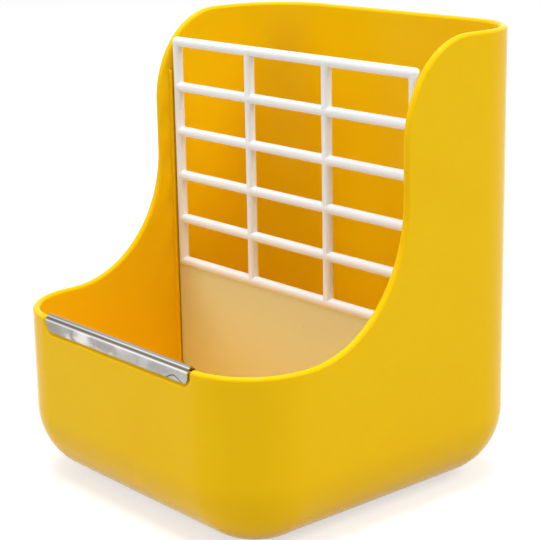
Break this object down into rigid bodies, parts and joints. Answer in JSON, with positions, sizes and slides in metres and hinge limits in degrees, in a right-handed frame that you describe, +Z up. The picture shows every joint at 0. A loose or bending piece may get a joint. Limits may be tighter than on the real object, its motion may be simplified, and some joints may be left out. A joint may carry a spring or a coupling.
{
  "type": "hay feeder box",
  "caption": "Open plastic box with a low food bowl in front and a high hay compartment behind a lift-out grid, with a steel lip guard and bolts for fixing it to a cage.",
  "frame": {"origin": "centre of the housing's flat underside, on the surface it stands on", "axes": "+Z up, -Y towards the low front lip and the animal, +Y towards the back wall and the cage, +X to the right seen from the front"},
  "size_m": [0.146, 0.1625, 0.175],
  "materials": {
    "yellow_plastic": "glossy moulded plastic, evenly coloured",
    "white_plastic": "satin to glossy moulded plastic",
    "stainless_sheet": "bright rolled stainless sheet with fine scratches",
    "zinc_plate": "bright zinc plate on steel"
  },
  "bodies": {
    "body": {"housing": "yellow_plastic", "lip_guard": "stainless_sheet", "left_bolt": "zinc_plate", "right_bolt": "zinc_plate"},
    "rack": {"rack_panel": "white_plastic"},
    "left_clamp": {"left_washer": "zinc_plate"},
    "left_nut": {"left_wing_nut": "zinc_plate"},
    "right_clamp": {"right_washer": "zinc_plate"},
    "right_nut": {"right_wing_nut": "zinc_plate"}
  },
  "joints": [
    {"name": "rack_lift", "type": "slide", "parent": "body", "child": "rack", "axis": [0, 0, 1], "range_m": [0, 0.175]},
    {"name": "left_washer_slide", "type": "slide", "parent": "body", "child": "left_clamp", "axis": [0, 1, 0], "range_m": [0, 0.006]},
    {"name": "left_nut_turn", "type": "hinge", "parent": "left_clamp", "child": "left_nut", "pos_m": [-0.03, 0.075, 0.039], "axis": [0, 1, 0], "range_deg": [0, 2100]},
    {"name": "right_washer_slide", "type": "slide", "parent": "body", "child": "right_clamp", "axis": [0, 1, 0], "range_m": [0, 0.006]},
    {"name": "right_nut_turn", "type": "hinge", "parent": "right_clamp", "child": "right_nut", "pos_m": [0.03, 0.075, 0.039], "axis": [0, 1, 0], "range_deg": [0, 2100]}
  ],
  "couplings": [
    {"joint": "left_washer_slide", "follows": "left_nut_turn", "m_per_rad": 0.00015915},
    {"joint": "right_washer_slide", "follows": "right_nut_turn", "m_per_rad": 0.00015915}
  ]
}
